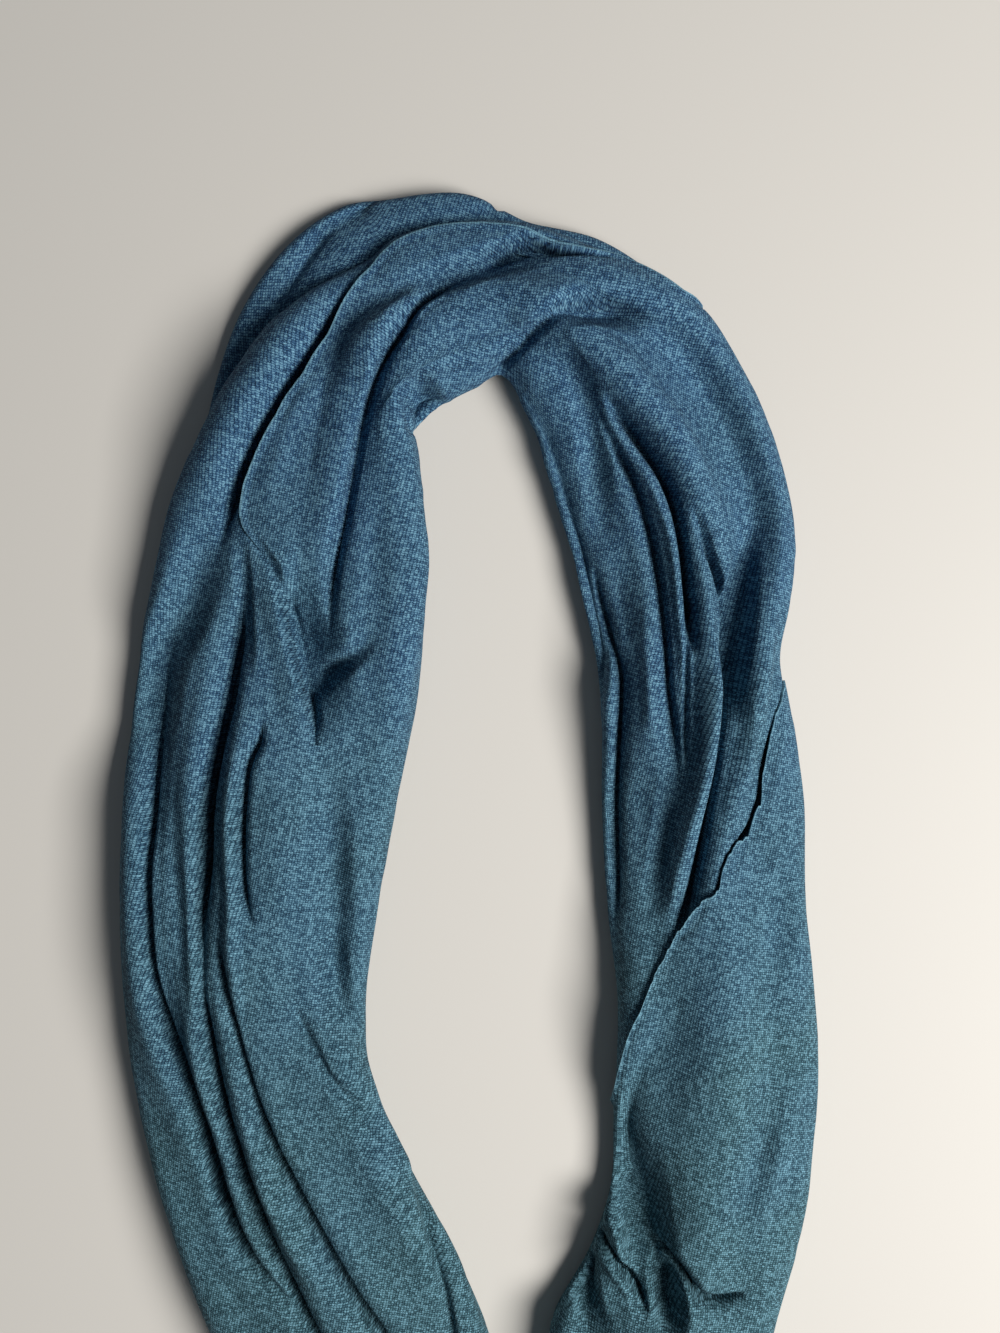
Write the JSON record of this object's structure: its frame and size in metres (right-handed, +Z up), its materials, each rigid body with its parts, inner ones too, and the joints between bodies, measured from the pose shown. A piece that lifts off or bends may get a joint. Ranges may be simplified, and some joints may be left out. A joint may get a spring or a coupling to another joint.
{
  "type": "infinity scarf",
  "caption": "Infinity scarf in fine heathered jersey, gathered lengthwise and laid on a floor in one long loop.",
  "frame": {"origin": "middle of the scarf's footprint, on the surface it lies on", "axes": "+Y along the loop towards the crown with the lapped folds, +X across it towards the flap, +Z up"},
  "size_m": [0.4239, 0.8609, 0.054],
  "materials": {
    "jersey": "soft heathered knit, matte"
  },
  "bodies": {
    "root": {"left_stretch": "jersey", "left_fold": "jersey", "crown_stretch": "jersey", "right_stretch": "jersey", "flap_stretch": "jersey", "foot_stretch": "jersey", "joining_seam": "jersey", "left_layers": "jersey", "left_layers_upper": "jersey", "crown_layers": "jersey", "right_layers": "jersey", "right_layers_lower": "jersey", "foot_layers": "jersey"}
  },
  "joints": []
}
